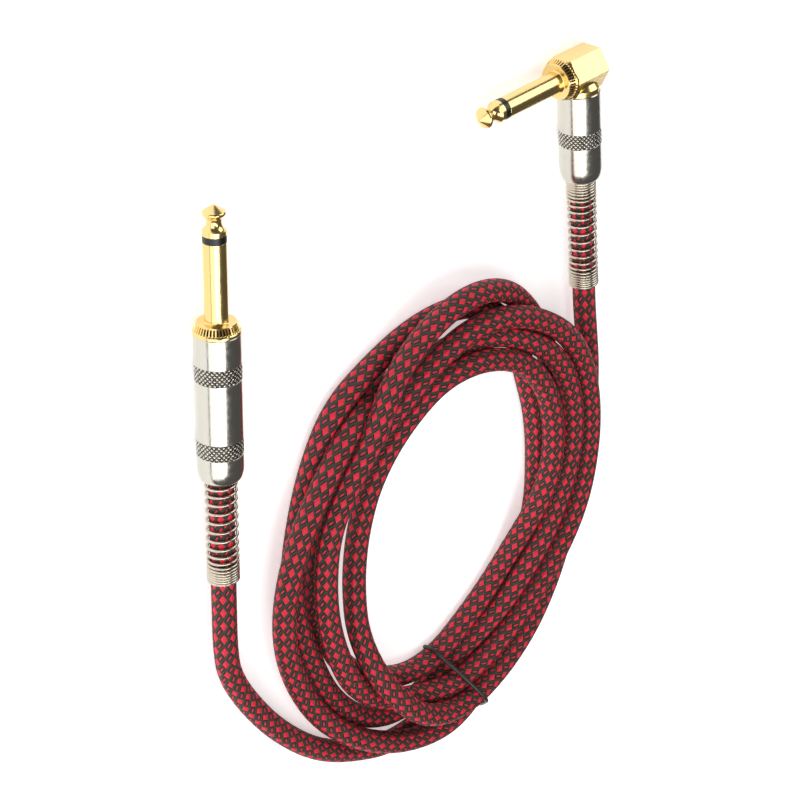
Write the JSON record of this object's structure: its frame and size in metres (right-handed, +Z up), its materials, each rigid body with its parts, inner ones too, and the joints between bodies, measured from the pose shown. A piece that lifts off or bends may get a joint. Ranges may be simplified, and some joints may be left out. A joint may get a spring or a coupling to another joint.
{
  "type": "instrument cable",
  "caption": "Braided instrument lead in a tied coil, with a straight and an angled quarter-inch plug, screw-off barrels and spring strain reliefs.",
  "frame": {"origin": "on the table, under the middle of the common box of the two plugs", "axes": "+X from the straight plug to the angle plug, +Y the way the straight plug points, +Z up from the table"},
  "size_m": [0.1633, 0.2152, 0.0152],
  "materials": {
    "gold_plate": "polished gold plate",
    "nickel_plate": "polished nickel plate",
    "spring_steel": "nickel-plated spring wire",
    "tinned_brass": "tinned",
    "black_plastic": "moulded",
    "phenolic": "punched sheet",
    "clear_liner": "thin tube",
    "core_insulation": "extruded",
    "copper": "bare copper",
    "solder": "solder",
    "braid": "tight tweed braid of red and charcoal yarn",
    "tie": "thin round cord"
  },
  "bodies": {
    "cable": {"angle_cable_clamp": "tinned_brass", "angle_cable_end": "braid", "angle_contact_strip": "gold_plate", "angle_elbow_block": "gold_plate", "angle_ground_solder": "solder", "angle_lead": "braid", "angle_screen_tail": "copper", "angle_signal_core": "core_insulation", "angle_signal_wire": "copper", "angle_sleeve": "gold_plate", "angle_strip_bush": "phenolic", "angle_tip_contact": "gold_plate", "angle_tip_insulator": "black_plastic", "coil": "braid", "coil_tie": "tie", "straight_cable_clamp": "tinned_brass", "straight_cable_end": "braid", "straight_ground_solder": "solder", "straight_lead": "braid", "straight_rear_washer": "phenolic", "straight_screen_tail": "copper", "straight_signal_core": "core_insulation", "straight_signal_wire": "copper", "straight_sleeve": "gold_plate", "straight_tip_contact": "gold_plate", "straight_tip_insulator": "black_plastic", "straight_tip_lug": "tinned_brass"},
    "straight_liner": {"straight_liner": "clear_liner"},
    "straight_barrel": {"straight_barrel": "nickel_plate"},
    "straight_spring": {"straight_spring": "spring_steel"},
    "angle_liner": {"angle_liner": "clear_liner"},
    "angle_barrel": {"angle_barrel": "nickel_plate"},
    "angle_spring": {"angle_spring": "spring_steel"}
  },
  "joints": [
    {"name": "straight_barrel_travel", "type": "slide", "parent": "cable", "child": "straight_liner", "axis": [0, -1, 0], "range_m": [0, 0.00601]},
    {"name": "straight_barrel_turn", "type": "hinge", "parent": "straight_liner", "child": "straight_barrel", "pos_m": [-0.07212, 0.01383, 0.0064], "axis": [0, -1, 0], "range_deg": [0, 2160]},
    {"name": "straight_spring_slide", "type": "slide", "parent": "straight_liner", "child": "straight_spring", "axis": [0, -1, 0], "range_m": [0, 0.0053]},
    {"name": "angle_barrel_travel", "type": "slide", "parent": "cable", "child": "angle_liner", "axis": [0.1281, -0.9917, -0.014], "range_m": [0, 0.00601]},
    {"name": "angle_barrel_turn", "type": "hinge", "parent": "angle_liner", "child": "angle_barrel", "pos_m": [0.06586, 0.0475, 0.00673], "axis": [0.1281, -0.9917, -0.014], "range_deg": [0, 2160]},
    {"name": "angle_spring_slide", "type": "slide", "parent": "angle_liner", "child": "angle_spring", "axis": [-0.1281, 0.9917, 0.014], "range_m": [0, 0.0053]}
  ],
  "couplings": [
    {"joint": "straight_barrel_travel", "follows": "straight_barrel_turn", "m_per_rad": 0.00015915},
    {"joint": "angle_barrel_travel", "follows": "angle_barrel_turn", "m_per_rad": 0.00015915}
  ]
}
